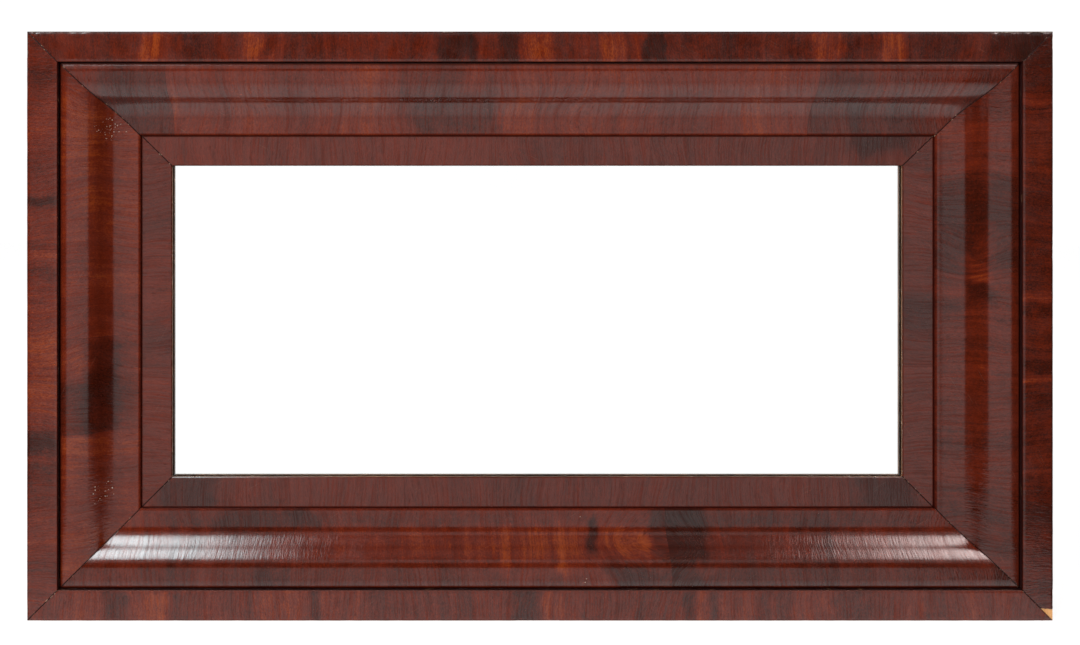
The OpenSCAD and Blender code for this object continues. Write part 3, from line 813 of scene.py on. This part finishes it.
metals = {
    "nail": {
        "bright": "#4a4440", "dull": "#332b27", "rust": "#6b3417", "rustAmount": 0.34,
        "roughness": 0.55, "lineSize": (3, 3, 3), "metallic": 0.8,
    },
    "strap": {
        "bright": "#b3b1ab", "dull": "#87847c", "rust": "#7a4a25", "rustAmount": 0.08,
        "roughness": 0.42, "lineSize": (14, 0.6, 0.35), "metallic": 0.55,
    },
    "ring": {
        "bright": "#bdbbb5", "dull": "#918e86", "rust": "#7a4a25", "rustAmount": 0.05,
        "roughness": 0.36, "lineSize": (1.5, 1.5, 1.5), "metallic": 0.6,
    },
    "screw": {
        "bright": "#b0aea7", "dull": "#7e7b73", "rust": "#74431f", "rustAmount": 0.12,
        "roughness": 0.40, "lineSize": (0.5, 5, 0.5), "metallic": 0.55,
    },
}
# Hollows in mm across the face. Their darkening is dirt plus painted shade: the band's outer arris and
# quirk edge, the ogee's quirk and nose, the slip's outer edge
bandHollows = [(2.6, 1.0, 0.2), (27.0, 27.5, 28.1)]
ogeeHollows = [(4.2, 3.0, 2.1), (70.5, 71.8, 74.6)]
slipHollows = [(1.8, 1.4, 0.8)]
bandMahogany = mahoganyMaterial("mahogany_band", bandHollows, 0.15, tint=0.02)
ogeeMahogany = mahoganyMaterial("mahogany_figured", ogeeHollows, 0.14, contrast=0.8)
slipMahogany = mahoganyMaterial("mahogany_slip", slipHollows, 0.20, tint=-0.08, contrast=0.6)
for (kind, side), piece in pieces.items():
    finish = {"band": bandMahogany, "ogee": ogeeMahogany, "slip": slipMahogany}[kind]
    piece.data.materials.append(finish)

railPine = pineMaterial("old_pine_rail", "X", "#94683c", "#5d3819", "#2c1a0f", grime=0.7)
stilePine = pineMaterial("old_pine_stile", "Z", "#8e6339", "#583417", "#2c1a0f", grime=0.7)
corePineX = pineMaterial("clean_pine_rail", "X", "#c79a66", "#94602f", "#5a3a22", grime=0.35)
corePineZ = pineMaterial("clean_pine_stile", "Z", "#c79a66", "#94602f", "#5a3a22", grime=0.35)
sightPineX = pineMaterial("grimy_pine_rail", "X", "#8a6346", "#4d3021", "#231610", grime=0.8)
sightPineZ = pineMaterial("grimy_pine_stile", "Z", "#8a6346", "#4d3021", "#231610", grime=0.8)
boardPine = pineMaterial("board_pine", "X", "#a67c4d", "#6f4722", "#3a2818", grime=0.6, roughness=0.7)
pegWood = pineMaterial("peg_end_grain", "Y", "#6d4626", "#3c2412", "#22140b", grime=0.5, endGrain=True)
finishes = {
    "mirror_glass": silveredGlass("silvered_glass"),
    "mirror_silvering": silverBacking("silver_backing"),
    "corner_pegs": pegWood,
    "glass_blocks": corePineX,
    "backboard_upper": boardPine,
    "backboard_lower": boardPine,
    "backboard_nails": metalMaterial("rusted_iron", **metals["nail"]),
}
strapSteel = metalMaterial("dull_zinc_strap", **metals["strap"])
ringSteel = metalMaterial("dull_zinc_wire", **metals["ring"])
screwSteel = metalMaterial("dull_zinc_screw", **metals["screw"])
for side in sides:
    axis = "X" if side in ("top", "bottom") else "Z"
    finishes["band_core_" + side] = stainedCore("stained_core_" + side, axis)
    finishes["ogee_core_" + side] = corePineX if axis == "X" else corePineZ
    finishes["slip_core_" + side] = sightPineX if axis == "X" else sightPineZ
for name in ("base_rail_top", "base_rail_bottom"):
    finishes[name] = railPine
for name in ("base_stile_left", "base_stile_right"):
    finishes[name] = stilePine
for side in ("left", "right"):
    finishes["hanger_strap_" + side] = strapSteel
    finishes["hanger_ring_" + side] = ringSteel
    finishes["hanger_screws_" + side] = screwSteel
for name, finish in finishes.items():
    target = nodes[name].data
    for index in range(len(target.materials)):
        target.materials[index] = finish
    if not target.materials:
        target.materials.append(finish)
print("materials", len(bpy.data.materials))

# The studio: a white floor and surround, and cards that only the polish and the mirror see.
# Lengths in metres, tilts in degrees about X. A fade is the share of a card's half size over
# which it dies away towards its edges, along and up, down to its rim's share.
floorZ = boxAtStart[0].z
studio = {
    "floor": {"size": 18, "glow": 0.84, "albedo": 0.36, "gap": 0.0004},
    "surround": {"radius": 9.0, "glow": 1.03},
    "darkRoom": {"radius": 7.0, "glow": 0.002},
    "ambient": 0.44,
    "cards": {
        "front_card": {
            "at": (0.012, -2.2, -0.21), "size": (3.25, 1.42),
            "tilt": 90, "glow": 1.05, "fade": (0.12, 0),
        },
        "low_card": {
            "at": (-0.025, -0.55, -0.91), "size": (3.15, 3.30),
            "tilt": 0, "glow": 1.65, "fade": (0, 0.9), "rim": 0.5,
        },
        "upper_card": {
            "at": (-0.025, -1.05, 0.635), "size": (3.0, 0.34),
            "tilt": 90, "glow": 0.9, "fade": (0, 0.3),
        },
        "ceiling_card": {
            "at": (0.13, -0.70, 1.21), "size": (1.8, 1.74),
            "tilt": 25, "glow": 0.36, "fade": (0.5, 0.85),
        },
        "left_softbox": {
            "at": (-1.02, -0.697, 1.162), "size": (1.12, 1.74),
            "tilt": 25.4, "glow": 23.5, "fade": (0.86, 0.85), "colour": (0.83, 0.98, 1.02, 1),
        },
        "right_softbox": {
            "at": (1.42, -0.697, 1.162), "size": (1.40, 1.74),
            "tilt": 25.4, "glow": 19.5, "fade": (0.9, 0.85), "colour": (1.0, 0.87, 0.85, 1),
        },
    },
    "lamps": {
        # name: place, target, size, power
        "key": ((-1.8, -1.8, 1.5), (0, 0, 0), 1.2, 72),
        "fill": ((1.6, -2.0, 1.2), (0, 0, 0), 1.6, 10),
    },
}


def glowMaterial(name, strength, size=None, fade=(0, 0), rim=0.0, colour=(1, 1, 1, 1)):
    # A lit card, dying away towards its edges like the cloth of a softbox
    g = Graph(name)
    glow = strength
    if size:
        xyz = g.tree.nodes.new("ShaderNodeSeparateXYZ")
        g.tree.links.new(g.tree.nodes.new("ShaderNodeTexCoord").outputs["Object"], xyz.inputs[0])
        for axis in (0, 1):
            if fade[axis]:
                off = g.math("DIVIDE", g.math("ABSOLUTE", xyz.outputs[axis]), size[axis] / 2)
                glow = g.math("MULTIPLY", g.range(off, 1.0, 1 - fade[axis], rim, 1.0, smooth=True), glow)
    return g.finish(g.add("Emission", {"Color": colour, "Strength": glow}))


def stagePlane(name, size, material):
    bm = bmesh.new()
    bmesh.ops.create_grid(bm, x_segments=1, y_segments=1, size=0.5)
    bmesh.ops.scale(bm, verts=bm.verts, vec=(size[0], size[1], 1))
    plane = meshObject(name, bm)
    plane.data.materials.append(material)
    return plane


def stageShell(name, radius, material):
    bm = bmesh.new()
    bmesh.ops.create_uvsphere(bm, u_segments=48, v_segments=24, radius=radius)
    bmesh.ops.reverse_faces(bm, faces=bm.faces)
    shell = meshObject(name, bm)
    shell.data.materials.append(material)
    return shell


def onlySeenBy(thing, camera=False, diffuse=False, glossy=False, transmission=False):
    thing.visible_camera = camera
    thing.visible_diffuse = diffuse
    thing.visible_glossy = glossy
    thing.visible_transmission = transmission
    thing.visible_volume_scatter = False
    thing.visible_shadow = False


g = Graph("pale_floor")
paper = g.noise(g.tree.nodes.new("ShaderNodeTexCoord").outputs["Object"], (60, 60, 60), 1.0, 3.0)
albedo = studio["floor"]["albedo"]
sheetColour = g.mix(paper, (albedo, albedo, albedo, 1), (albedo * 0.97,) * 3 + (1,))
matte = g.add("BsdfDiffuse", {"Color": sheetColour})
glow = g.add("Emission", {"Color": (1, 1, 1, 1), "Strength": studio["floor"]["glow"]})
paleFloor = g.finish(g.add("AddShader", {0: matte, 1: glow}))
floor = stagePlane("floor", [studio["floor"]["size"]] * 2, paleFloor)
floor.location.z = floorZ - studio["floor"]["gap"]
floor.visible_glossy = False
floor.visible_transmission = False

white, dark = studio["surround"], studio["darkRoom"]
surround = stageShell("surround", white["radius"], glowMaterial("surround_white", white["glow"]))
onlySeenBy(surround, camera=True)
darkRoom = stageShell("dark_room", dark["radius"], glowMaterial("room_dark", dark["glow"]))
onlySeenBy(darkRoom, glossy=True, transmission=True)
for name, look in studio["cards"].items():
    cloth = glowMaterial(
        name + "_white", look["glow"], look["size"], look["fade"],
        rim=look.get("rim", 0.0), colour=look.get("colour", (1, 1, 1, 1)),
    )
    card = stagePlane(name, look["size"], cloth)
    card.rotation_euler = (math.radians(look["tilt"]), 0, 0)
    card.location = look["at"]
    onlySeenBy(card, glossy=True, transmission=True)

world = bpy.data.worlds.new("soft_daylight")
bpy.context.scene.world = world
world.use_nodes = True
world.node_tree.nodes["Background"].inputs["Color"].default_value = (1, 1, 1, 1)
world.node_tree.nodes["Background"].inputs["Strength"].default_value = studio["ambient"]
for name, (place, target, size, power) in studio["lamps"].items():
    light = bpy.data.lights.new(name, "AREA")
    light.shape = "SQUARE"
    light.size = size
    light.energy = power
    lamp = bpy.data.objects.new(name, light)
    lamp.location = place
    lamp.rotation_euler = (Vector(target) - Vector(place)).to_track_quat("-Z", "Y").to_euler()
    bpy.context.scene.collection.objects.link(lamp)
    lamp.visible_glossy = False
    lamp.visible_transmission = False
    lamp.visible_camera = False

# The camera stood 0.8 m in front, above the middle and to the left of it, held level
photo = {
    "distance": 0.80, "left": 0.060, "up": 0.109, "across": 0.9616, "centreUp": 0.00325,
    "sensor": 36, "clip": (0.05, 60),
}
lens = bpy.data.cameras.new("photo_camera")
lens.sensor_width = photo["sensor"]
lens.lens = photo["sensor"] * photo["distance"] / photo["across"]
lens.shift_x = photo["left"] / photo["across"]
lens.shift_y = (photo["centreUp"] - photo["up"]) / photo["across"]
lens.clip_start, lens.clip_end = photo["clip"]
camera = bpy.data.objects.new("photo_camera", lens)
bpy.context.scene.collection.objects.link(camera)
camera.location = (-photo["left"], -(band["top"] * mm + photo["distance"]), photo["up"])
camera.rotation_euler = (math.radians(90), 0, 0)
bpy.context.scene.camera = camera
bpy.context.scene.view_settings.view_transform = "Standard"
print("studio and camera ready")
